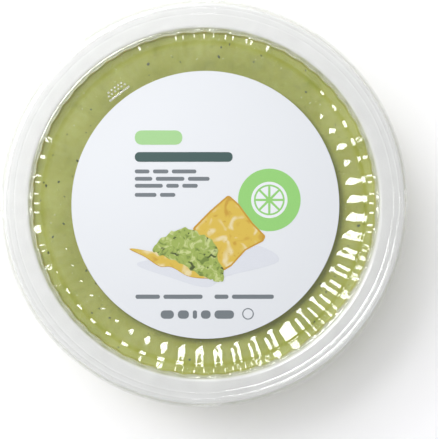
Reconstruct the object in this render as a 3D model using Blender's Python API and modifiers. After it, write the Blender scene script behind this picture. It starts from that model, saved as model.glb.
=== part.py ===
"""A round clear tub of guacamole with a press-on lid and a round paper label.

Metres, +Z up, standing on z = 0 with its axis at x = y = 0. The tub, the guacamole, the lid and the
label are four closed solids. The turned shapes are a profile with a Screw, and the tub's wall, the
guacamole's side and the lid's sloping ring then take the same upright flutes.
"""

import math

import bmesh
import bpy

MM = 0.001

# Driving dimensions
RIM_RADIUS = 58.5 * MM  # the lid's outer edge
HEIGHT = 42.5 * MM  # floor to the top of the lid's rim
MOUTH_RADIUS = 50.3 * MM  # inside of the tub, at its flange
WALL_TAPER = math.radians(10.8)
FOOT_RADIUS = 39.6 * MM  # small enough to stand in the lid of a tub below
FOOT_WIDTH = 3.2 * MM
BASE_RISE = 1.2 * MM  # the middle of the base clears the floor
TUB_WALL = 0.4 * MM
LID_WALL = 0.45 * MM
PANEL_RADIUS = 40.9 * MM  # the lid's flat middle
PANEL_DEPTH = 4.5 * MM  # below the lid's top
CREASE_RADIUS = 45.9 * MM  # where the lid's sloping ring turns steep
CREASE_RISE = 1.5 * MM
LABEL_RADIUS = 38.9 * MM
LABEL_THICKNESS = 0.15 * MM
HEADSPACE = 2.8 * MM  # guacamole to the underside of the lid's panel
FLUTES = 52
FLUTE_DEPTH = 0.7 * MM  # crest to valley

# What follows from them
GAP = 0.3 * MM  # between neighbouring pieces
LABEL_GAP = 0.05 * MM
STEP_RISE = 0.25 * MM  # each of the two low steps on the lid's rim
STEP_RADII = (53.9 * MM, 55.4 * MM)
STEP_RUN = 0.35 * MM
SKIRT_DEPTH = 8.0 * MM
PANEL_TOP = HEIGHT - PANEL_DEPTH
SEAT_TOP = HEIGHT - 2 * STEP_RISE  # the lid's rim, inside its steps
FLANGE_TOP = SEAT_TOP - LID_WALL - GAP
FLANGE_EDGE = 57.0 * MM
FLANGE_LIP = 1.5 * MM
FILL_TOP = PANEL_TOP - LID_WALL - HEADSPACE
WALL_FLUTE_TOP = FLANGE_TOP - 3 * MM
WALL_FLUTE_FOOT = 5 * MM
SEGMENTS = 2 * FLUTES  # a vertex on every crest and in every valley

GREEN = (0.36, 0.46, 0.08)
CLEAR = (0.86, 0.88, 0.88)
PAPER = (0.85, 0.88, 0.92)


def inner_wall_radius(z):
    """The tub's inside radius at a height, midway between flute crest and valley."""
    return MOUTH_RADIUS - (FLANGE_TOP - z) * math.tan(WALL_TAPER)


def ramp(value, start, end):
    """Rises smoothly from 0 at start to 1 at end."""
    t = min(max((value - start) / (end - start), 0), 1)
    return t * t * (3 - 2 * t)


def new_material(name, colour, roughness, alpha=1.0):
    material = bpy.data.materials.new(name)
    material.use_nodes = True
    shader = material.node_tree.nodes["Principled BSDF"]
    shader.inputs["Base Color"].default_value = (*colour, 1)
    shader.inputs["Roughness"].default_value = roughness
    shader.inputs["Metallic"].default_value = 0
    shader.inputs["Alpha"].default_value = alpha
    return material


def turned_mesh(name, profile):
    """The surface that the profile, points (r, z), sweeps round the axis."""
    line = bpy.data.meshes.new(name)
    edges = [(i, i + 1) for i in range(len(profile) - 1)]
    line.from_pydata([(r, 0, z) for r, z in profile], edges, [])
    guide = bpy.data.objects.new(name, line)
    bpy.context.scene.collection.objects.link(guide)
    screw = guide.modifiers.new("Turn", "SCREW")
    screw.steps = screw.render_steps = SEGMENTS
    screw.use_merge_vertices = True
    screw.merge_threshold = 0.05 * MM
    mesh = bpy.data.meshes.new_from_object(guide.evaluated_get(bpy.context.evaluated_depsgraph_get()))
    bpy.data.objects.remove(guide)
    bpy.data.meshes.remove(line)
    return mesh


def flute(mesh, strength):
    """Moves each vertex in and out by the upright flutes, where strength(r, z) is the share that shows."""
    work = bmesh.new()
    work.from_mesh(mesh)
    for vertex in work.verts:
        radius = math.hypot(vertex.co.x, vertex.co.y)
        share = strength(radius, vertex.co.z)
        if not share:
            continue
        wave = math.cos(FLUTES * math.atan2(vertex.co.y, vertex.co.x))
        scale = 1 + share * wave * FLUTE_DEPTH / 2 / radius
        vertex.co.x *= scale
        vertex.co.y *= scale
    work.to_mesh(mesh)
    work.free()


def wall_flutes(radius, z):
    """The flutes run up the side wall, and fade out below the flange and above the foot."""
    if radius < FOOT_RADIUS + 1 * MM:
        return 0
    return ramp(z, 2 * MM, WALL_FLUTE_FOOT) * ramp(z, FLANGE_TOP - 1 * MM, WALL_FLUTE_TOP)


def lid_flutes(radius, z):
    """The flutes cover the lid's sloping ring, and fade out at the panel and at the rim."""
    if z > SEAT_TOP - 0.2 * MM or radius > MOUTH_RADIUS:
        return 0
    return ramp(radius, PANEL_RADIUS, PANEL_RADIUS + 1 * MM)


def add_object(name, mesh, material, collection, thickness=0.0):
    piece = bpy.data.objects.new(name, mesh)
    collection.objects.link(piece)
    mesh.materials.append(material)
    mesh.shade_smooth()
    mesh.set_sharp_from_angle(angle=math.radians(50))
    if thickness:
        shell = piece.modifiers.new("Wall", "SOLIDIFY")
        shell.thickness = thickness
        shell.use_even_offset = True
    return piece


def tub_profile():
    """The tub's underside and outside, from the flange's lip to the middle of the base."""
    lip_radius = FLANGE_EDGE - TUB_WALL
    under = FLANGE_TOP - TUB_WALL
    wall = [(inner_wall_radius(z) + TUB_WALL, z) for z in (under, WALL_FLUTE_TOP, WALL_FLUTE_FOOT)]
    foot_inside = FOOT_RADIUS - FOOT_WIDTH
    profile = [(lip_radius, under - FLANGE_LIP), (lip_radius, under), *wall]
    profile += [(FOOT_RADIUS + 1.8 * MM, 1 * MM), (FOOT_RADIUS, 0), (foot_inside, 0)]
    profile += [(foot_inside - BASE_RISE, BASE_RISE), (0, BASE_RISE)]
    return profile


def fill_profile():
    """The guacamole, from the middle of its top, down its side, to the middle of its underside."""
    side = [(inner_wall_radius(z) - GAP, z) for z in (FILL_TOP, WALL_FLUTE_FOOT)]
    floor = TUB_WALL + GAP
    foot_inside = FOOT_RADIUS - FOOT_WIDTH + GAP
    profile = [(0, FILL_TOP), *side]
    profile += [(FOOT_RADIUS + 0.6 * MM, 1.2 * MM), (FOOT_RADIUS - 0.3 * MM, floor), (foot_inside, floor)]
    profile += [(foot_inside - BASE_RISE, BASE_RISE + floor), (0, BASE_RISE + floor)]
    return profile


def lid_profile():
    """The lid's upper side, from the middle of its panel, over the rim, to the skirt's lower edge."""
    profile = [(0, PANEL_TOP), (PANEL_RADIUS, PANEL_TOP), (CREASE_RADIUS, PANEL_TOP + CREASE_RISE)]
    profile += [(MOUTH_RADIUS, SEAT_TOP)]
    for i, radius in enumerate(STEP_RADII):
        level = SEAT_TOP + i * STEP_RISE
        profile += [(radius - STEP_RUN / 2, level), (radius + STEP_RUN / 2, level + STEP_RISE)]
    profile += [(RIM_RADIUS - 1.6 * MM, HEIGHT), (RIM_RADIUS - 0.2 * MM, HEIGHT - 1.8 * MM)]
    profile += [(RIM_RADIUS - 1.1 * MM, HEIGHT - 4.4 * MM), (RIM_RADIUS, HEIGHT - SKIRT_DEPTH)]
    return profile


def build_tub(collection):
    mesh = turned_mesh("tub", tub_profile())
    flute(mesh, wall_flutes)
    plastic = new_material("tub_plastic", CLEAR, 0.08, 0.3)
    add_object("tub", mesh, plastic, collection, TUB_WALL)


def build_guacamole(collection):
    mesh = turned_mesh("guacamole", fill_profile())
    flute(mesh, wall_flutes)
    add_object("guacamole", mesh, new_material("guacamole", GREEN, 0.45), collection)


def build_lid(collection):
    mesh = turned_mesh("lid", lid_profile())
    flute(mesh, lid_flutes)
    plastic = new_material("lid_plastic", CLEAR, 0.08, 0.3)
    add_object("lid", mesh, plastic, collection, LID_WALL)


def build_label(collection):
    """The label is a paper disc on the lid's panel."""
    low = PANEL_TOP + LABEL_GAP
    disc = [(0, low + LABEL_THICKNESS), (LABEL_RADIUS, low + LABEL_THICKNESS), (LABEL_RADIUS, low), (0, low)]
    mesh = turned_mesh("label", disc)
    add_object("label", mesh, new_material("label_paper", PAPER, 0.5), collection)


def main():
    for old in list(bpy.data.objects):
        bpy.data.objects.remove(old)
    collection = bpy.data.collections.new("guacamole_tub")
    bpy.context.scene.collection.children.link(collection)
    build_tub(collection)
    build_guacamole(collection)
    build_lid(collection)
    build_label(collection)


main()
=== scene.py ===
"""A closed round tub of guacamole: clear fluted tub and lid, a printed paper label, and a soft studio.

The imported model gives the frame, and every piece here is placed from its boxes. Metres, +Z up, with the
tub's axis at x = y = 0.
"""

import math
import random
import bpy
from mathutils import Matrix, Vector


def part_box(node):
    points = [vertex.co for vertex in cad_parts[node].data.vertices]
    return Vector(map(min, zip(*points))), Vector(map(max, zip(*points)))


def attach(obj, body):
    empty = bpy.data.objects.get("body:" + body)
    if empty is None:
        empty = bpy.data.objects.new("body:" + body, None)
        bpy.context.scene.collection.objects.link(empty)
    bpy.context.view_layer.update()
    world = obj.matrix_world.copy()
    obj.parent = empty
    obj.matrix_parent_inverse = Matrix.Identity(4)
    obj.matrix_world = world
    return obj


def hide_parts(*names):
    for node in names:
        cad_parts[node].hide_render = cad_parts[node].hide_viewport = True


bl_info = {
    "name": "Guacamole Tub",
    "version": (1, 0, 0),
    "blender": (4, 5, 0),
    "location": "3D View > Sidebar > Guacamole",
    "description": "Builds a clear tub of guacamole with its lid, label and studio",
    "category": "Add Mesh",
}

import bmesh
import bpy
from bpy.props import FloatProperty, FloatVectorProperty, IntProperty, PointerProperty
from mathutils import Matrix, Vector, noise

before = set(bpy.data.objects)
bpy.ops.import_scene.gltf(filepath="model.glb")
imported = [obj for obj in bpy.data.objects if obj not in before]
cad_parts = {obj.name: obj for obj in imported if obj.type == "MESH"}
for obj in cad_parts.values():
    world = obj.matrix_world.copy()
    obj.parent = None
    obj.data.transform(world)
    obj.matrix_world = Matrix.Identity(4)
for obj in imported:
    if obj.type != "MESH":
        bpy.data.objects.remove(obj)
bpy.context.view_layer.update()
BOX = {name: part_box(name) for name in ("tub", "guacamole", "lid", "label")}

MM = 0.001
BODY = "root"
WHITE_LEVEL = 1.2  # how bright the studio's light makes a white surface that faces up
HEAD_ON_SHINE = 0.045  # what one face of the plastic mirrors, seen straight on
FORWARD_SCATTER = 0.6  # of what the plastic would hold back from a lamp
SIDE_PANELS = ((0, 120 * MM), (90, 120 * MM), (135, 230 * MM), (180, 120 * MM), (270, 120 * MM))  # turn, side
STEP_RADII = (53.8 * MM, 55.4 * MM)  # the low steps on the lid's rim
EMBOSS_TURN = math.radians(127.6)  # where the raised mark stands, from +X
SINK = 0.12 * MM  # of the guacamole into the tub's wall, so that no gap shows through it
SMEAR = 0.9 * MM  # how far the guacamole clings to the wall above its level

LID_RADIUS = BOX["lid"][1][0]
LID_TOP = BOX["lid"][1][2]
SKIRT_FOOT = BOX["lid"][0][2]
FLANGE_EDGE = BOX["tub"][1][0]
FLANGE_TOP = BOX["tub"][1][2]
FILL_TOP = BOX["guacamole"][1][2]
LABEL_RADIUS = BOX["label"][1][0]
LABEL_TOP = BOX["label"][1][2]
FILL_LEVEL = FILL_TOP - 0.25 * MM  # the guacamole's level under its lumps


# ---------------------------------------------------------------------------------------------- settings


def length(name, description, millimetres):
    """A size in the sidebar, which Blender shows in the scene's units."""
    return FloatProperty(
        name=name, description=description, default=millimetres * MM, min=0, unit="LENGTH", precision=5
    )


def share(name, description, default):
    return FloatProperty(name=name, description=description, default=default, min=0, max=1, subtype="FACTOR")


def colour(name, description, red, green, blue):
    """A surface's colour, given as the screen values from 0 to 255 that it shows."""
    linear = screen_colour(red, green, blue)
    return FloatVectorProperty(
        name=name, description=description, default=linear, size=3, min=0, max=1, subtype="COLOR"
    )


def screen_to_linear(value):
    return value / 12.92 if value <= 0.04045 else ((value + 0.055) / 1.055) ** 2.4


def screen_colour(red, green, blue):
    """The colour of a surface that shows these screen values, from 0 to 255, under the studio's light."""
    return tuple(screen_to_linear(value / 255) / WHITE_LEVEL for value in (red, green, blue))


class PackSettings(bpy.types.PropertyGroup):
    """Sizes of the clear tub and its lid."""

    flutes: IntProperty(name="Flutes", description="Flutes round the tub and the lid", default=52, min=8)
    flute_depth: length("Flute depth", "Crest to valley on the tub's wall", 0.7)
    lid_flute_depth: length("Lid flute depth", "Crest to valley on the lid's slope", 0.42)
    tub_wall: length("Tub wall", "Thickness of the tub", 0.4)
    lid_wall: length("Lid wall", "Thickness of the lid", 0.45)
    mouth_radius: length("Mouth radius", "Inside of the tub at its flange", 50.3)
    foot_radius: length("Foot radius", "Outside of the ring that the tub stands on", 39.6)
    foot_width: length("Foot width", "Width of that ring", 3.2)
    base_rise: length("Base rise", "How far the middle of the base clears the floor", 1.2)
    taper: FloatProperty(
        name="Taper", description="Lean of the tub's wall", default=math.radians(10.8), subtype="ANGLE"
    )
    panel_radius: length("Panel radius", "The lid's flat middle", 40.9)
    panel_depth: length("Panel depth", "The lid's panel below its rim", 4.5)
    crease_radius: length("Crease radius", "Where the lid's slope turns steep", 45.9)
    crease_rise: length("Crease rise", "Height of that turn above the panel", 1.25)
    step_rise: length("Step rise", "Height of each low step on the lid's rim", 0.25)
    lid_milk: share("Lid milk", "How milky each face of the lid is", 0.005)
    panel_milk: share("Panel milk", "What the lid's misted panel adds", 0.025)
    tub_milk: share("Tub milk", "How milky each face of the tub is", 0.16)
    flange_milk: share("Flange milk", "What the tub's thick flange adds", 0.36)
    gloss: share("Roughness", "Roughness of the plastic's shine", 0.07)


class FoodSettings(bpy.types.PropertyGroup):
    """Colours and specks of the guacamole."""

    flesh: colour("Flesh", "Most of the guacamole", 168, 174, 58)
    pale: colour("Pale", "Its creamy parts", 186, 192, 92)
    deep: colour("Deep", "Its greener parts", 141, 151, 42)
    herb: colour("Herb", "Chopped leaves and pepper skin", 84, 96, 40)
    onion: colour("Onion", "Small pale bits", 205, 208, 150)
    lumps: length("Lumps", "Height of the soft unevenness of its top", 0.22)
    herb_count: IntProperty(name="Herb flecks", description="Flecks on the top and side", default=230, min=0)
    onion_count: IntProperty(name="Onion bits", description="Pale bits on the top and side", default=320, min=0)


class LabelSettings(bpy.types.PropertyGroup):
    """Colours of the label and its print."""

    paper: colour("Paper", "The coated paper", 234, 237, 242)
    mint: colour("Mint", "Heading bar", 165, 212, 145)
    teal: colour("Teal", "Title bar", 52, 84, 82)
    grey: colour("Grey", "Text bars", 112, 120, 126)
    leaf: colour("Leaf", "The round badge", 146, 207, 115)
    golden: colour("Golden", "The pictured chips", 220, 188, 72)
    toasted: colour("Toasted", "The chips' edges", 198, 150, 40)
    cream: colour("Cream", "Pale blisters on the chips", 234, 218, 168)
    shade: colour("Shade", "The pictured shadow", 219, 222, 230)


class StudioSettings(bpy.types.PropertyGroup):
    """Camera and light."""

    camera_height: length("Camera height", "Camera above the lid", 1000)
    frame_width: length("Frame width", "What the picture's width takes in at the lid's rim", 125.1)
    camera_right: length("Camera right", "Camera to the right of the tub's axis", 4.3)
    camera_below: length("Camera below", "Camera below the tub's axis in the picture", 4.6)
    key_distance: length("Key distance", "Softbox to the tub", 800)
    key_size: length("Key size", "Side of the square softbox", 330)
    key_lean: FloatProperty(
        name="Key lean", description="Softbox from straight overhead", default=math.radians(25), subtype="ANGLE"
    )
    key_turn: FloatProperty(
        name="Key turn", description="Softbox round the tub, from +X", default=math.radians(135), subtype="ANGLE"
    )
    key_radiance: FloatProperty(name="Key radiance", description="Brightness of the softbox", default=12.6)
    panel_radiance: FloatProperty(name="Panel radiance", description="Brightness of the side panels", default=11.5)
    panel_lean: FloatProperty(
        name="Panel lean", description="Side panels from straight overhead", default=math.radians(81), subtype="ANGLE"
    )
    room_low: FloatProperty(name="Room low", description="Brightness of the room at the horizon", default=0.92)
    room_high: FloatProperty(name="Room high", description="Brightness of the room overhead", default=0.08)


# ------------------------------------------------------------------------------------------------ shaders


class Wire:
    """One output in a material. Python's operators on it add Math nodes."""

    def __init__(self, finish, socket):
        self.finish = finish
        self.socket = socket

    def maths(self, operation, first, second):
        return self.finish.add("ShaderNodeMath", {"operation": operation}, {0: first, 1: second})

    def __add__(self, other):
        return self.maths("ADD", self, other)

    def __sub__(self, other):
        return self.maths("SUBTRACT", self, other)

    def __mul__(self, other):
        return self.maths("MULTIPLY", self, other)

    def __truediv__(self, other):
        return self.maths("DIVIDE", self, other)

    def __pow__(self, other):
        return self.maths("POWER", self, other)

    def __radd__(self, other):
        return self.maths("ADD", other, self)

    def __rsub__(self, other):
        return self.maths("SUBTRACT", other, self)

    def __rmul__(self, other):
        return self.maths("MULTIPLY", other, self)


class Finish:
    """A material under construction."""

    def __init__(self, name):
        self.material = bpy.data.materials.new(name)
        self.material.use_nodes = True
        self.tree = self.material.node_tree
        self.tree.nodes.clear()

    def add(self, kind, settings=None, inputs=None, output=0):
        """Adds a node: its settings first, then the values or wires of its sockets."""
        node = self.tree.nodes.new(kind)
        for name, value in (settings or {}).items():
            if name == "stops":
                self.set_stops(node.color_ramp, value)
            else:
                setattr(node, name, value)
        for name, value in (inputs or {}).items():
            if isinstance(value, Wire):
                self.tree.links.new(value.socket, node.inputs[name])
            else:
                node.inputs[name].default_value = value
        return Wire(self, node.outputs[output]) if node.outputs else node

    @staticmethod
    def set_stops(ramp, stops):
        for element, (place, value) in zip(ramp.elements, stops):
            element.position = place
            element.color = (value, value, value, 1)

    def place(self):
        return self.add("ShaderNodeTexCoord", output="Object")

    def height(self):
        return self.add("ShaderNodeSeparateXYZ", None, {0: self.place()}, output="Z")

    def off_axis(self):
        """Distance from the tub's axis."""
        flat = self.add("ShaderNodeVectorMath", {"operation": "MULTIPLY"}, {0: self.place(), 1: (1, 1, 0)})
        return self.add("ShaderNodeVectorMath", {"operation": "LENGTH"}, {0: flat}, output="Value")

    def mottle(self, size, detail=2.0, roughness=0.5, distortion=0.0):
        """Soft noise from 0 to 1, with patches about size across."""
        inputs = {"Vector": self.place(), "Scale": 1 / size, "Detail": detail}
        inputs |= {"Roughness": roughness, "Distortion": distortion}
        return self.add("ShaderNodeTexNoise", None, inputs)

    def between(self, value, low, high):
        """0 where value is under low, 1 where it is over high, and smooth between."""
        settings = {"interpolation_type": "SMOOTHSTEP"}
        return self.add("ShaderNodeMapRange", settings, {"Value": value, "From Min": low, "From Max": high})

    def blend(self, amount, first, second):
        """The first colour turned into the second by amount."""
        inputs = {0: amount}
        for index, value in ((6, first), (7, second)):
            inputs[index] = value if isinstance(value, Wire) else (*value, 1)
        return self.add("ShaderNodeMix", {"data_type": "RGBA"}, inputs, output=2)

    def bump(self, height, strength, distance):
        inputs = {"Height": height, "Strength": strength, "Distance": distance}
        return self.add("ShaderNodeBump", None, inputs)

    def principled(self, **inputs):
        named = {name.replace("_", " ").title().replace("Ior", "IOR"): v for name, v in inputs.items()}
        for name in ("Base Color", "Subsurface Radius"):
            if name == "Base Color" and name in named and not isinstance(named[name], Wire):
                named[name] = (*named[name], 1)
        return self.add("ShaderNodeBsdfPrincipled", None, named)

    def finish(self, surface):
        self.add("ShaderNodeOutputMaterial", None, {"Surface": surface})
        return self.material


def clear_plastic(name, milk, hazy=0.0, hazy_from=0.0, hazy_to=0.0, around="height"):
    """Thin plastic: it lets light straight through, and each face adds a shine and some milk.

    The milk rises by hazy between two heights, or between two distances from the axis. The shine
    grows towards the edges as on any clear plastic. Light on its way to what lies behind is
    scattered forwards by the milk more than it is held back, so lamps see through it more easily.
    """
    pack = bpy.context.scene.guacamole_pack
    finish = Finish(name)
    if hazy:
        milk = finish.between(getattr(finish, around)(), hazy_from, hazy_to) * hazy + milk
    uneven = finish.mottle(9 * MM, detail=1.0)
    edge_on = finish.add("ShaderNodeLayerWeight", None, {"Blend": 0.5}, output="Facing")
    mirror = edge_on**5 * (1 - HEAD_ON_SHINE) + HEAD_ON_SHINE
    body = mirror + (uneven * 0.4 + 0.8) * milk
    gloss = finish.principled(
        base_color=(0.86, 0.86, 0.865), metallic=mirror / body, roughness=uneven * 0.05 + (pack.gloss - 0.025)
    )
    through = finish.add("ShaderNodeBsdfTransparent", None, {"Color": (0.99, 0.992, 0.99, 1)})
    to_lamp = finish.add("ShaderNodeLightPath", output="Is Shadow Ray")
    share_seen = body * (1 - to_lamp * FORWARD_SCATTER)
    surface = finish.add("ShaderNodeMixShader", None, {0: share_seen, 1: through, 2: gloss})
    return finish.finish(surface)


def guacamole_finish():
    """Moist mashed flesh: pale and greener patches, fine grain, soft uneven gloss."""
    food = bpy.context.scene.guacamole_food
    finish = Finish("guacamole_flesh")
    broad = finish.mottle(11 * MM, detail=3.0, roughness=0.6, distortion=0.4)
    fine = finish.mottle(1.6 * MM, detail=3.0, roughness=0.65)
    creamy = finish.blend(finish.between(broad, 0.42, 0.72) * 0.75, food.flesh, food.pale)
    greener = finish.blend(finish.between(broad, 0.46, 0.26) * 0.6, creamy, food.deep)
    grain = finish.between(fine, 0.56, 0.72) * 0.35
    skin = finish.blend(grain, greener, food.pale)
    skin = finish.blend(finish.between(fine, 0.42, 0.28) * 0.4, skin, food.deep)
    surface = finish.principled(
        base_color=skin,
        roughness=broad * 0.3 + 0.3,
        subsurface_weight=0.1,
        subsurface_scale=2 * MM,
        normal=finish.bump(fine, 0.25, 0.15 * MM),
    )
    return finish.finish(surface)


def speck_finish(name, tone, shadow_tone):
    """Chopped bits, each of a slightly different tone."""
    finish = Finish(name)
    patch = finish.mottle(2.2 * MM, detail=1.0)
    surface = finish.principled(
        base_color=finish.blend(finish.between(patch, 0.35, 0.65), tone, shadow_tone),
        roughness=patch * 0.2 + 0.3,
    )
    return finish.finish(surface)


def paper_finish():
    """Coated paper with a barely uneven satin."""
    label = bpy.context.scene.guacamole_label
    finish = Finish("label_paper")
    fibre = finish.mottle(0.5 * MM, detail=2.0)
    cloud = finish.mottle(14 * MM, detail=1.0)
    dimmer = tuple(0.975 * value for value in label.paper)
    surface = finish.principled(
        base_color=finish.blend(cloud * 0.5, label.paper, dimmer),
        roughness=fibre * 0.08 + 0.42,
        normal=finish.bump(fibre, 0.08, 0.02 * MM),
    )
    return finish.finish(surface)


def ink_finish(name, tone):
    """Flat ink with a faint grain."""
    finish = Finish(name)
    grain = finish.mottle(0.35 * MM, detail=1.0)
    lighter = tuple(min(1, 1.08 * value) for value in tone)
    surface = finish.principled(base_color=finish.blend(grain, tone, lighter), roughness=grain * 0.06 + 0.4)
    return finish.finish(surface)


def chip_finish():
    """The print of a golden chip: cream blisters, toasted patches and a few brown specks."""
    label = bpy.context.scene.guacamole_label
    finish = Finish("print_chip_golden")
    blister = finish.mottle(4.2 * MM, detail=1.5, distortion=0.6)
    speck = finish.mottle(0.7 * MM, detail=1.0)
    tone = finish.blend(finish.between(blister, 0.5, 0.68), label.golden, label.cream)
    tone = finish.blend(finish.between(blister, 0.42, 0.3) * 0.8, tone, label.toasted)
    tone = finish.blend(finish.between(speck, 0.68, 0.76) * 0.6, tone, label.toasted)
    return finish.finish(finish.principled(base_color=tone, roughness=speck * 0.06 + 0.4))


# ------------------------------------------------------------------------------------------------ shaping


def rounded(corners, largest_turn=15):
    """Points of a path through corners (r, z, fillet radius), each corner turned on an arc."""
    points = [Vector(corners[0][:2])]
    for before, here, after in zip(corners, corners[1:], corners[2:]):
        corner, fillet = Vector(here[:2]), here[2]
        arrive = (corner - Vector(before[:2])).normalized()
        leave = (Vector(after[:2]) - corner).normalized()
        turn = arrive.angle_signed(leave)
        if fillet <= 0 or abs(turn) < 1e-4:
            points.append(corner)
            continue
        start = corner - arrive * fillet * math.tan(abs(turn) / 2)
        steps = max(2, math.ceil(abs(math.degrees(turn)) / largest_turn))
        side = -1 if turn > 0 else 1
        centre = start + Vector((-arrive.y, arrive.x)) * fillet * side
        spoke = start - centre
        for step in range(steps + 1):
            angle = -turn * step / steps
            points.append(centre + Matrix.Rotation(angle, 2) @ spoke)
    points.append(Vector(corners[-1][:2]))
    return points


def walled(points, wall):
    """The outline of a sheet: the points, then back along the sheet's other side, wall away to the right."""
    other = []
    for i, point in enumerate(points):
        arrive = (point - points[i - 1]).normalized() if i else None
        leave = (points[i + 1] - point).normalized() if i + 1 < len(points) else None
        sides = [Vector((d.y, -d.x)) for d in (arrive, leave) if d is not None]
        middle = sum(sides, Vector((0, 0))).normalized()
        reach = wall / max(middle.dot(sides[0]), 0.5)
        other.append(point + middle * reach)
    if abs(points[0].x) < 1e-9:
        other[0].x = 0
    if abs(points[-1].x) < 1e-9:
        other[-1].x = 0
    outline = points + other[::-1]
    if abs(points[0].x) > 1e-9:
        outline.append(points[0])
    return outline


def turned(outline, segments):
    """The closed skin that an outline of points (r, z) sweeps round the axis."""
    work = bmesh.new()
    ring = [work.verts.new((point[0], 0, point[1])) for point in outline]
    edges = [work.edges.new(pair) for pair in zip(ring, ring[1:])]
    bmesh.ops.spin(
        work, geom=ring + edges, cent=(0, 0, 0), axis=(0, 0, 1), angle=math.tau, steps=segments, use_merge=True
    )
    bmesh.ops.remove_doubles(work, verts=work.verts, dist=1e-6)
    bmesh.ops.recalc_face_normals(work, faces=work.faces)
    return work


def ramp(value, start, end):
    """Rises smoothly from 0 at start to 1 at end."""
    t = min(max((value - start) / (end - start), 0), 1)
    return t * t * (3 - 2 * t)


def wall_radius(z):
    """The tub's inside radius at a height, midway between flute crest and valley."""
    pack = bpy.context.scene.guacamole_pack
    return pack.mouth_radius - (FLANGE_TOP - z) * math.tan(pack.taper)


def wall_flute(radius, z, angle):
    """How far the tub's wall stands out at a place."""
    pack = bpy.context.scene.guacamole_pack
    shown = ramp(z, 2 * MM, 5 * MM) * ramp(z, FLANGE_TOP - 0.6 * MM, FLANGE_TOP - 3 * MM)
    shown *= 0.4 + 0.6 * ramp(z, FILL_TOP, FILL_TOP - 8 * MM)
    return shown * math.cos(pack.flutes * angle) * pack.flute_depth / 2


def flute_wall(work, least_radius):
    """Gives every vertex outside least_radius the tub's upright flutes."""
    for vertex in work.verts:
        radius = vertex.co.xy.length
        if radius < least_radius:
            continue
        out = wall_flute(radius, vertex.co.z, math.atan2(vertex.co.y, vertex.co.x))
        vertex.co.xy *= 1 + out / radius


def finished(work, name, material, replaces=None, sharp=40):
    """Turns the bmesh into a smooth piece that rides on the tub."""
    mesh = bpy.data.meshes.new(name)
    work.to_mesh(mesh)
    work.free()
    materials = material if isinstance(material, list) else [material]
    for each in materials:
        mesh.materials.append(each)
    mesh.shade_smooth()
    mesh.set_sharp_from_angle(angle=math.radians(sharp))
    piece = bpy.data.objects.new(name, mesh)
    bpy.context.scene.collection.objects.link(piece)
    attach(piece, BODY)
    if replaces:
        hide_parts(replaces)
    return piece


# -------------------------------------------------------------------------------------------- tub and lid


def tub_path():
    """The tub's outside, from the flange's lip to the middle of its base."""
    pack = bpy.context.scene.guacamole_pack
    wall = pack.tub_wall
    under = FLANGE_TOP - wall
    lip = FLANGE_EDGE - wall
    foot_inside = pack.foot_radius - pack.foot_width
    corners = [(lip, under - 1.5 * MM, 0), (lip, under, 0.5 * MM)]
    corners += [(wall_radius(under) + wall, under, 0.7 * MM)]
    heights = [FLANGE_TOP - depth * MM for depth in (2, 3, 6, 12, 18, 24, 30)] + [6 * MM]
    corners += [(wall_radius(z) + wall, z, 0) for z in heights]
    corners += [(wall_radius(3 * MM) + wall, 3 * MM, 1.8 * MM), (pack.foot_radius, 0, 0.6 * MM)]
    corners += [(foot_inside, 0, 0.5 * MM), (foot_inside - pack.base_rise, pack.base_rise, 0.6 * MM)]
    corners += [(0, pack.base_rise, 0)]
    return rounded(corners)


def build_tub():
    pack = bpy.context.scene.guacamole_pack
    outline = walled(tub_path(), pack.tub_wall)
    work = turned(outline, 8 * pack.flutes)
    flute_wall(work, pack.foot_radius + 1 * MM)
    clear = clear_plastic("tub_clear", pack.tub_milk, pack.flange_milk, FILL_TOP, FLANGE_TOP - 2 * MM)
    finished(work, "tub_shell", clear, "tub")


def lid_path():
    """The lid's top, from the middle of its panel, up the slope and over the rim, to the skirt's foot."""
    pack = bpy.context.scene.guacamole_pack
    panel_top = LID_TOP - pack.panel_depth
    seat = LID_TOP - 2 * pack.step_rise
    run = pack.crease_radius - pack.panel_radius
    gentle = 0.14
    steep = 2 * pack.crease_rise / run - gentle
    corners = [(0, panel_top, 0), (LABEL_RADIUS + 0.4 * MM, panel_top, 0)]
    corners += [(pack.panel_radius - 0.3 * MM, panel_top, 0.6 * MM)]
    for i in range(1, 10):
        along = run * i / 10
        rise = gentle * along + (steep - gentle) * along**2 / (2 * run)
        corners.append((pack.panel_radius + along, panel_top + rise, 0))
    crease = panel_top + pack.crease_rise
    inner, outer = pack.crease_radius + 0.8 * MM, pack.mouth_radius - 0.7 * MM
    for along, rise in ((0, 0), (0.15, 0), (0.45, 0.07), (0.6, 0.07), (0.8, 0.12)):
        corners.append((pack.crease_radius + along * MM, crease + rise * MM, 0))
    crease += 0.12 * MM
    bead = seat + 0.1 * MM
    for i in range(1, 8):
        corners.append((inner + (outer - inner) * i / 8, crease + (bead - crease) * i / 8, 0))
    corners += [(outer, bead, 0.25 * MM), (outer + 0.4 * MM, seat, 0.1 * MM)]
    for radius in STEP_RADII:
        corners += [(radius - 0.2 * MM, seat, 0), (radius + 0.2 * MM, seat + 0.09 * MM, 0)]
        seat += pack.step_rise
        corners += [(radius + 0.35 * MM, seat, 0.1 * MM)]
    corners += [(LID_RADIUS - 0.25 * MM, LID_TOP, 1.7 * MM), (LID_RADIUS - 0.25 * MM, LID_TOP - 2.6 * MM, 0.5 * MM)]
    corners += [(LID_RADIUS - 1.1 * MM, LID_TOP - 4.4 * MM, 0.6 * MM)]
    corners += [(LID_RADIUS - 0.15 * MM, LID_TOP - 6 * MM, 0.6 * MM), (LID_RADIUS, SKIRT_FOOT, 0)]
    return rounded(corners)


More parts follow.
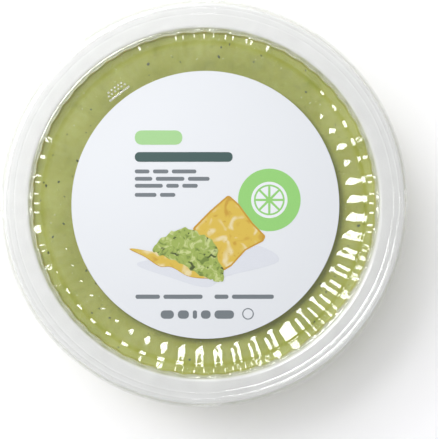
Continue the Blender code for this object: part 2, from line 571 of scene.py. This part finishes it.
def flute_lid(work):
    """Waves the lid's slope and steep wall, each flute a little deeper or shallower than the next."""
    pack = bpy.context.scene.guacamole_pack
    draw = random.Random(4)
    strengths = [draw.choice((0.35, 0.8, 0.9, 1.0, 1.1, 1.2, 1.3)) for _ in range(pack.flutes)]
    for vertex in work.verts:
        radius = vertex.co.xy.length
        shown = ramp(radius, pack.panel_radius - 0.4 * MM, pack.panel_radius + 1.2 * MM)
        shown *= ramp(radius, pack.mouth_radius - 0.7 * MM, pack.mouth_radius - 1.7 * MM)
        if not shown:
            continue
        angle = math.atan2(vertex.co.y, vertex.co.x) % math.tau
        turn = angle * pack.flutes / math.tau
        low = int(turn) % pack.flutes
        mix = ramp(turn - int(turn), 0, 1)
        strength = strengths[low] * (1 - mix) + strengths[(low + 1) % pack.flutes] * mix
        steepness = 1 + 0.6 * ramp(radius, pack.crease_radius + 0.5 * MM, pack.crease_radius + 1.6 * MM)
        wave = math.cos(math.tau * turn)
        vertex.co.z += shown * steepness * strength * wave * pack.lid_flute_depth / 2
        drift = noise.noise(Vector((5 * math.cos(angle), 5 * math.sin(angle), 0.3)))
        vertex.co.z += shown * drift * 0.05 * MM


def build_lid():
    pack = bpy.context.scene.guacamole_pack
    outline = walled(lid_path(), pack.lid_wall)
    work = turned(outline, 12 * pack.flutes)
    flute_lid(work)
    misted = (pack.panel_milk, pack.crease_radius + 0.2 * MM, pack.crease_radius - 1.5 * MM, "off_axis")
    finished(work, "lid_shell", clear_plastic("lid_clear", pack.lid_milk, *misted), "lid")


def build_emboss():
    """A raised bar with two rows of dots, on the flat ring between the label and the lid's slope."""
    panel_top = LID_TOP - bpy.context.scene.guacamole_pack.panel_depth
    work = bmesh.new()
    middle = EMBOSS_TURN
    bar_radius = LABEL_RADIUS + 0.75 * MM
    bar = bmesh.ops.create_cube(work, size=1)["verts"]
    bmesh.ops.scale(work, vec=(0.6 * MM, 7.2 * MM, 0.3 * MM), verts=bar)
    edges = list({edge for vertex in bar for edge in vertex.link_edges})
    bmesh.ops.bevel(
        work, geom=edges, offset=0.1 * MM, offset_type="OFFSET", segments=2, affect="EDGES", profile=0.5, material=-1
    )
    place = Matrix.Rotation(middle, 4, "Z") @ Matrix.Translation((bar_radius, 0, panel_top))
    bmesh.ops.transform(work, matrix=place, verts=work.verts)
    for row, count in ((1.3, 6), (2.2, 5)):
        for i in range(count):
            dot = bmesh.ops.create_icosphere(work, subdivisions=2, radius=0.36 * MM)["verts"]
            radius = bar_radius + row * MM
            turn = middle + (i - (count - 1) / 2) * 1.15 * MM / radius
            lift = panel_top + 0.25 * (row - 0.9) * MM
            spot = Vector((radius * math.cos(turn), radius * math.sin(turn), lift))
            bmesh.ops.translate(work, vec=spot, verts=dot)
    # The milk of 0.25 whitens the raised mark. It is painted sheen standing in for light caught on its edges, added
    # to the real shine of its raised shape.
    finished(work, "lid_emboss", clear_plastic("lid_raised_mark_painted_sheen", 0.25))


# ---------------------------------------------------------------------------------------------- guacamole


def fill_path():
    """The guacamole, from the middle of its top, over its edge and down its side, to its underside."""
    pack = bpy.context.scene.guacamole_pack
    floor = pack.tub_wall - SINK
    foot_inside = pack.foot_radius - pack.foot_width
    top = FILL_LEVEL
    rings = [i * 1.2 * MM for i in range(int((wall_radius(top) - 1 * MM) / (1.2 * MM)))]
    corners = [(radius, top, 0) for radius in rings]
    smear = top + SMEAR
    corners += [(wall_radius(top) - 0.25 * MM, top, 0.5 * MM), (wall_radius(smear) + SINK, smear, 0.05 * MM)]
    heights = [FILL_TOP - depth * MM for depth in (2, 6, 10, 14, 18, 22, 26)] + [6 * MM]
    corners += [(wall_radius(z) + SINK, z, 0) for z in heights]
    corners += [(wall_radius(3 * MM) + SINK, 3 * MM, 1.8 * MM), (pack.foot_radius, floor, 0.6 * MM)]
    corners += [(foot_inside, floor, 0.5 * MM), (foot_inside - pack.base_rise, pack.base_rise + floor, 0.6 * MM)]
    corners += [(0, pack.base_rise + floor, 0)]
    return rounded(corners)


def lump_height(x, y):
    """Soft swells and small lumps of the spread top, from about -1 to 1."""
    swell = noise.noise(Vector((x, y, 0)) / (9 * MM))
    lump = noise.noise(Vector((x, y, 7 * MM)) / (2.6 * MM))
    return 0.7 * swell + 0.35 * lump


def build_guacamole():
    pack = bpy.context.scene.guacamole_pack
    food = bpy.context.scene.guacamole_food
    work = turned(fill_path(), 8 * pack.flutes)
    flute_wall(work, pack.foot_radius + 1 * MM)
    for vertex in work.verts:
        x, y, z = vertex.co
        if z > FILL_TOP - 0.6 * MM:
            vertex.co.z += lump_height(x, y) * food.lumps * ramp(z, FILL_TOP + 0.5 * MM, FILL_TOP)
    finished(work, "guacamole_fill", guacamole_finish(), "guacamole", sharp=60)


def scatter_specks(work, draw, count, smallest, largest, flatness):
    """Adds small rough bits that lie half sunk on the top and along the side of the fill."""
    pack = bpy.context.scene.guacamole_pack
    food = bpy.context.scene.guacamole_food
    for i in range(count):
        bit = bmesh.ops.create_icosphere(work, subdivisions=1, radius=0.5)["verts"]
        for vertex in bit:
            vertex.co *= draw.uniform(0.75, 1.2)
        size = draw.uniform(smallest, largest)
        shape = Matrix.Diagonal((size, size * draw.uniform(0.45, 0.9), size * flatness, 1))
        turn = draw.uniform(0, math.tau)
        spin = Matrix.Rotation(draw.uniform(0, math.tau), 4, "Z")
        if i % 2:
            top = FILL_LEVEL
            radius = (wall_radius(top) - 0.8 * MM) * math.sqrt(draw.uniform(0.35, 1))
            x, y = radius * math.cos(turn), radius * math.sin(turn)
            spot = Matrix.Translation((x, y, top + lump_height(x, y) * food.lumps))
            lay = spin
        else:
            z = draw.uniform(4 * MM, FILL_TOP - 1.5 * MM)
            radius = wall_radius(z) + wall_flute(0, z, turn) + 0.1 * MM
            spot = Matrix.Rotation(turn, 4, "Z") @ Matrix.Translation((radius, 0, z))
            lay = Matrix.Rotation(math.pi / 2 - pack.taper, 4, "Y") @ spin
        bmesh.ops.transform(work, matrix=spot @ lay @ shape, verts=bit)


def build_specks():
    food = bpy.context.scene.guacamole_food
    herbs = bmesh.new()
    scatter_specks(herbs, random.Random(11), food.herb_count, 0.35 * MM, 1.1 * MM, 0.16)
    darker = tuple(0.6 * value for value in food.herb)
    finished(herbs, "herb_flecks", speck_finish("herb_green", food.herb, darker), sharp=80)
    onions = bmesh.new()
    scatter_specks(onions, random.Random(23), food.onion_count, 0.3 * MM, 0.8 * MM, 0.2)
    finished(onions, "onion_bits", speck_finish("onion_pale", food.onion, food.pale), sharp=80)


# -------------------------------------------------------------------------------------------------- label

LABEL_SHIFT = Vector((0.4 * MM, -0.4 * MM))  # stuck on a little off centre
INK = 0.02 * MM  # thickness of one printed layer


def build_label():
    """A paper disc with softened edges, resting on the lid's panel."""
    low = LID_TOP - bpy.context.scene.guacamole_pack.panel_depth + 0.01 * MM
    edge = 0.04 * MM
    radius = LABEL_RADIUS - LABEL_SHIFT.length
    corners = [(0, LABEL_TOP, 0), (radius, LABEL_TOP, edge), (radius, low, edge), (0, low, 0)]
    work = turned(rounded(corners), 240)
    bmesh.ops.translate(work, vec=(*LABEL_SHIFT, 0), verts=work.verts)
    finished(work, "label_disc", paper_finish(), "label")


def print_slab(work, outline, layer):
    """A thin slab of ink with this outline of points (x, y), in millimetres from the label's centre."""
    low = LABEL_TOP + (layer - 0.5) * INK
    spots = [(x * MM + LABEL_SHIFT.x, y * MM + LABEL_SHIFT.y, low) for x, y in outline]
    face = work.faces.new([work.verts.new(spot) for spot in spots])
    face.normal_update()
    if face.normal.z < 0:
        face.normal_flip()
    grown = bmesh.ops.extrude_face_region(work, geom=[face], use_keep_orig=True)["geom"]
    tops = [item for item in grown if isinstance(item, bmesh.types.BMVert)]
    bmesh.ops.translate(work, vec=(0, 0, INK), verts=tops)
    bmesh.ops.recalc_face_normals(work, faces=work.faces)


def bar_outline(left, right, bottom, top, corner=None):
    """A bar with round corners."""
    corner = min(top - bottom, right - left) / 2.2 if corner is None else corner
    outline = []
    for cx, cy, start in ((right, top, 0), (left, top, 90), (left, bottom, 180), (right, bottom, 270)):
        x = cx - corner if cx == right else cx + corner
        y = cy - corner if cy == top else cy + corner
        for step in range(5):
            angle = math.radians(start + 22.5 * step)
            outline.append((x + corner * math.cos(angle), y + corner * math.sin(angle)))
    return outline


def straight_outline(corners, fillet):
    """A closed outline with straight sides and rounded corners."""
    first, last = Vector(corners[0]), Vector(corners[-1])
    middle = tuple((first + last) / 2)
    path = [(*middle, 0)] + [(*corner, fillet) for corner in corners] + [(*middle, 0)]
    return [tuple(point) for point in rounded(path, 30)[:-1]]


def curve_outline(knots, steps=6):
    """A smooth closed outline through the knots."""
    outline = []
    count = len(knots)
    for i in range(count):
        p0, p1, p2, p3 = (Vector(knots[(i + k - 1) % count]) for k in range(4))
        for step in range(steps):
            t = step / steps
            curve = 2 * p1 + (p2 - p0) * t + (2 * p0 - 5 * p1 + 4 * p2 - p3) * t**2
            outline.append(tuple(0.5 * (curve + (3 * p1 - p0 - 3 * p2 + p3) * t**3)))
    return outline


def printed(name, outlines, layer, material):
    work = bmesh.new()
    for outline in outlines:
        print_slab(work, outline, layer)
    return finished(work, name, material, sharp=30)


def word_bars(left, widths, bottom, top, gap):
    """A row of bars, one for each word."""
    bars = []
    for width in widths:
        bars.append(bar_outline(left, left + width, bottom, top))
        left += width + gap
    return bars


def build_text_bars():
    """Plain bars where a real label carries words."""
    label = bpy.context.scene.guacamole_label
    printed("print_heading", word_bars(-20.2, (13.6,), 17.2, 21.3, 0), 1, ink_finish("ink_mint", label.mint))
    printed("print_title", word_bars(-20.2, (28.0,), 12.3, 15.1, 0), 1, ink_finish("ink_teal", label.teal))
    lines = [((4.2, 4.4, 7.0), 9.0, 10.1), ((5.0, 8.2, 6.2), 6.9, 8.0), ((8.0, 3.6, 4.4), 4.9, 6.0)]
    lines += [((6.2, 4.4), 2.3, 3.4)]
    rows = [bar for widths, bottom, top in lines for bar in word_bars(-20.2, widths, bottom, top, 1.0)]
    rows += word_bars(-20.0, (7.0, 11.2), -26.9, -25.7, 1.0) + word_bars(2.6, (4.0, 12.0), -26.9, -25.7, 1.0)
    rows += word_bars(-12.8, (3.8, 3.2, 1.2, 2.8, 5.6), -32.6, -30.2, 1.1)
    printed("print_lines", rows, 1, ink_finish("ink_grey", label.grey))


def build_badge():
    """A green disc with a plain citrus slice."""
    label = bpy.context.scene.guacamole_label
    centre = (18.3, 1.4)
    disc = [
        (centre[0] + 8.95 * math.cos(math.tau * i / 96), centre[1] + 8.95 * math.sin(math.tau * i / 96))
        for i in range(96)
    ]
    printed("print_badge", [disc], 1, ink_finish("ink_leaf", label.leaf))
    pieces = []
    slices = 8
    for i in range(slices):
        middle = math.tau * (i + 0.5) / slices
        half = math.pi / slices * 0.8
        tip = (centre[0] + 0.9 * math.cos(middle), centre[1] + 0.9 * math.sin(middle))
        rim = [
            (centre[0] + 3.9 * math.cos(middle + half * k / 4), centre[1] + 3.9 * math.sin(middle + half * k / 4))
            for k in range(-4, 5)
        ]
        pieces.append([tip, *rim])
    printed("print_slice", pieces, 2, ink_finish("ink_white", label.paper))
    work = bmesh.new()
    ring_slab(work, centre, 4.4, 5.2, 2)
    finished(work, "print_slice_rind", ink_finish("ink_white_rind", label.paper), sharp=30)
    work = bmesh.new()
    ring_slab(work, (12.2, -31.2), 1.35, 1.65, 1)
    finished(work, "print_ring", ink_finish("ink_grey_ring", label.grey), sharp=30)


def ring_slab(work, centre, inside, outside, layer):
    """A flat printed ring."""
    low = LABEL_TOP + (layer - 0.5) * INK
    outline = [(inside, low), (outside * 1.0, low), (outside, low + INK), (inside, low + INK), (inside, low)]
    ring = [work.verts.new((r * MM if r > 1e-6 else 0, 0, z)) for r, z in outline[:-1]]
    edges = [work.edges.new(pair) for pair in zip(ring, ring[1:] + ring[:1])]
    bmesh.ops.spin(
        work, geom=ring + edges, cent=(0, 0, 0), axis=(0, 0, 1), angle=math.tau, steps=64, use_merge=True
    )
    bmesh.ops.remove_doubles(work, verts=work.verts, dist=1e-6)
    bmesh.ops.recalc_face_normals(work, faces=work.faces)
    spot = (centre[0] * MM + LABEL_SHIFT.x, centre[1] * MM + LABEL_SHIFT.y, 0)
    bmesh.ops.translate(work, vec=spot, verts=work.verts)


def build_picture():
    """Two golden chips with a heap of guacamole on a soft grey shadow, as plain fields of colour."""
    label = bpy.context.scene.guacamole_label
    shade = [(-19.5, -16.6), (-10, -20.8), (0.5, -23.6), (6, -20.5), (21, -16.2), (14, -11.5), (0, -14)]
    printed("print_shadow", [curve_outline(shade)], 1, ink_finish("ink_shade", label.shade))
    edge = ink_finish("ink_toasted", label.toasted)
    golden = chip_finish()
    rear = [(6.6, 2.9), (9.6, 0.2), (13.6, -5.2), (17.3, -9.0), (16.6, -10.4), (11.6, -13.0), (7.4, -17.6)]
    rear += [(4.6, -19.2), (2.4, -15.4), (-3.8, -6.9), (1.2, -1.8)]
    printed("print_chip_back_edge", [straight_outline(rear, 0.9)], 2, edge)
    inner = [(6.5 + (x - 6.5) * 0.93, -8.0 + (y + 8.0) * 0.94) for x, y in rear]
    printed("print_chip_back", [straight_outline(inner, 0.9)], 3, golden)
    front = [(-21.8, -12.6), (-16.5, -13.3), (-10.0, -14.6), (-4.0, -18.0), (1.8, -20.9), (-4.5, -20.6)]
    front += [(-9.6, -17.9), (-13.2, -17.6), (-17.4, -14.9)]
    printed("print_chip_front_edge", [curve_outline(front)], 3, edge)
    printed("print_chip_front", [[(x * 0.97 - 0.3, y * 0.985 - 0.1) for x, y in curve_outline(front)]], 4, golden)
    build_heap()


def heap_finish():
    """The print of chunky mashed avocado: pale lumps with green and dark hollows between them."""
    finish = Finish("print_heap_green")
    lump = finish.mottle(2.6 * MM, detail=2.5, roughness=0.6, distortion=0.8)
    hollow = finish.mottle(2.1 * MM, detail=1.5, distortion=0.9)
    tones = [screen_colour(*tone) for tone in ((158, 178, 84), (200, 211, 140), (112, 134, 52), (70, 84, 30))]
    tone = finish.blend(finish.between(lump, 0.5, 0.62), tones[0], tones[1])
    tone = finish.blend(finish.between(lump, 0.44, 0.34), tone, tones[2])
    tone = finish.blend(finish.between(hollow, 0.38, 0.3), tone, tones[3])
    return finish.finish(finish.principled(base_color=tone, roughness=hollow * 0.06 + 0.4))


def build_heap():
    """The pictured heap, with a lumpy outline."""
    draw = random.Random(31)
    knots = [(-14.8, -12.6), (-13.0, -10.2), (-10.6, -8.3), (-7.6, -6.9), (-4.6, -6.8), (-1.6, -8.4)]
    knots += [(1.6, -10.0), (3.6, -13.0), (3.7, -16.6), (5.3, -19.6), (4.4, -22.2), (1.8, -21.4), (-0.6, -20.6)]
    knots += [(-4.0, -18.6), (-6.4, -17.2), (-9.8, -15.4), (-13.4, -14.4)]
    lumpy = [(x + draw.uniform(-0.35, 0.35), y + draw.uniform(-0.35, 0.35)) for x, y in curve_outline(knots, 3)]
    printed("print_heap", [curve_outline(lumpy, 3)], 5, heap_finish())


# ------------------------------------------------------------------------------------------------- studio


def build_floor():
    work = bmesh.new()
    bmesh.ops.create_grid(work, x_segments=1, y_segments=1, size=3.0)
    mesh = bpy.data.meshes.new("floor")
    work.to_mesh(mesh)
    work.free()
    finish = Finish("studio_white")
    mesh.materials.append(finish.finish(finish.principled(base_color=(0.955, 0.95, 0.975), roughness=0.9)))
    floor = bpy.data.objects.new("floor", mesh)
    bpy.context.scene.collection.objects.link(floor)


def build_camera():
    studio = bpy.context.scene.guacamole_studio
    data = bpy.data.cameras.new("overhead")
    data.sensor_width = 36
    data.lens = data.sensor_width * studio.camera_height / studio.frame_width
    data.clip_end = 20
    camera = bpy.data.objects.new("overhead", data)
    camera.location = (studio.camera_right, -studio.camera_below, LID_TOP + studio.camera_height)
    bpy.context.scene.collection.objects.link(camera)
    bpy.context.scene.camera = camera


def add_softbox(name, size, radiance, lean, turn):
    """A square lamp that faces the tub, lean from overhead and turn round it from +X."""
    distance = bpy.context.scene.guacamole_studio.key_distance
    data = bpy.data.lights.new(name, "AREA")
    data.shape = "SQUARE"
    data.size = size
    data.energy = radiance * math.pi * size**2
    lamp = bpy.data.objects.new(name, data)
    aim = Vector((math.sin(lean) * math.cos(turn), math.sin(lean) * math.sin(turn), math.cos(lean)))
    lamp.location = aim * distance
    lamp.rotation_euler = aim.to_track_quat("Z", "Y").to_euler()
    lamp.visible_camera = False
    bpy.context.scene.collection.objects.link(lamp)


def build_room():
    """A white room, brighter towards the horizon than overhead."""
    studio = bpy.context.scene.guacamole_studio
    world = bpy.data.worlds.new("white_room")
    world.use_nodes = True
    tree = world.node_tree
    direction = tree.nodes.new("ShaderNodeTexCoord")
    height = tree.nodes.new("ShaderNodeSeparateXYZ")
    tree.links.new(direction.outputs["Generated"], height.inputs[0])
    level = tree.nodes.new("ShaderNodeMapRange")
    level.inputs["To Min"].default_value = studio.room_low
    level.inputs["To Max"].default_value = studio.room_high
    squared = tree.nodes.new("ShaderNodeMath")
    squared.operation = "MULTIPLY"
    for socket in squared.inputs[:2]:
        tree.links.new(height.outputs["Z"], socket)
    tree.links.new(squared.outputs[0], level.inputs["Value"])
    background = tree.nodes["Background"]
    background.inputs["Color"].default_value = (1, 1, 1, 1)
    tree.links.new(level.outputs["Result"], background.inputs["Strength"])
    bpy.context.scene.world = world


def build_lights():
    studio = bpy.context.scene.guacamole_studio
    add_softbox("softbox", studio.key_size, studio.key_radiance, studio.key_lean, studio.key_turn)
    for turn, size in SIDE_PANELS:
        add_softbox(f"panel_{turn}", size, studio.panel_radiance, studio.panel_lean, math.radians(turn))
    build_room()
    bpy.context.scene.view_settings.view_transform = "Standard"


# ---------------------------------------------------------------------------------------------- operators


class GUAC_OT_tub(bpy.types.Operator):
    """Build the clear fluted tub"""

    bl_idname = "guacamole.tub"
    bl_label = "Tub"

    def execute(self, context):
        build_tub()
        return {"FINISHED"}


class GUAC_OT_guacamole(bpy.types.Operator):
    """Build the guacamole with its herb flecks and onion bits"""

    bl_idname = "guacamole.fill"
    bl_label = "Guacamole"

    def execute(self, context):
        build_guacamole()
        build_specks()
        return {"FINISHED"}


class GUAC_OT_lid(bpy.types.Operator):
    """Build the clear lid and its raised marks"""

    bl_idname = "guacamole.lid"
    bl_label = "Lid"

    def execute(self, context):
        build_lid()
        build_emboss()
        return {"FINISHED"}


class GUAC_OT_label(bpy.types.Operator):
    """Build the paper label and its print"""

    bl_idname = "guacamole.label"
    bl_label = "Label"

    def execute(self, context):
        build_label()
        build_text_bars()
        build_badge()
        build_picture()
        return {"FINISHED"}


class GUAC_OT_studio(bpy.types.Operator):
    """Build the floor, the camera and the lights"""

    bl_idname = "guacamole.studio"
    bl_label = "Studio"

    def execute(self, context):
        build_floor()
        build_camera()
        build_lights()
        return {"FINISHED"}


OPERATORS = (GUAC_OT_tub, GUAC_OT_guacamole, GUAC_OT_lid, GUAC_OT_label, GUAC_OT_studio)
SETTINGS = {
    "guacamole_pack": PackSettings,
    "guacamole_food": FoodSettings,
    "guacamole_label": LabelSettings,
    "guacamole_studio": StudioSettings,
}


class GUAC_PT_panel(bpy.types.Panel):
    """Lists the pieces and their settings"""

    bl_idname = "GUAC_PT_panel"
    bl_label = "Guacamole Tub"
    bl_space_type = "VIEW_3D"
    bl_region_type = "UI"
    bl_category = "Guacamole"

    def draw(self, context):
        for operator in OPERATORS:
            self.layout.operator(operator.bl_idname)
        for name in SETTINGS:
            group = getattr(context.scene, name)
            box = self.layout.box()
            for key in group.bl_rna.properties.keys():
                if key not in ("rna_type", "name"):
                    box.prop(group, key)


CLASSES = (*SETTINGS.values(), *OPERATORS, GUAC_PT_panel)


def register():
    for each in CLASSES:
        bpy.utils.register_class(each)
    for name, group in SETTINGS.items():
        setattr(bpy.types.Scene, name, PointerProperty(type=group))


def unregister():
    for name in SETTINGS:
        delattr(bpy.types.Scene, name)
    for each in reversed(CLASSES):
        bpy.utils.unregister_class(each)


def main():
    register()
    for operator in OPERATORS:
        group, name = operator.bl_idname.split(".")
        getattr(getattr(bpy.ops, group), name)()


if __name__ == "__main__":
    main()
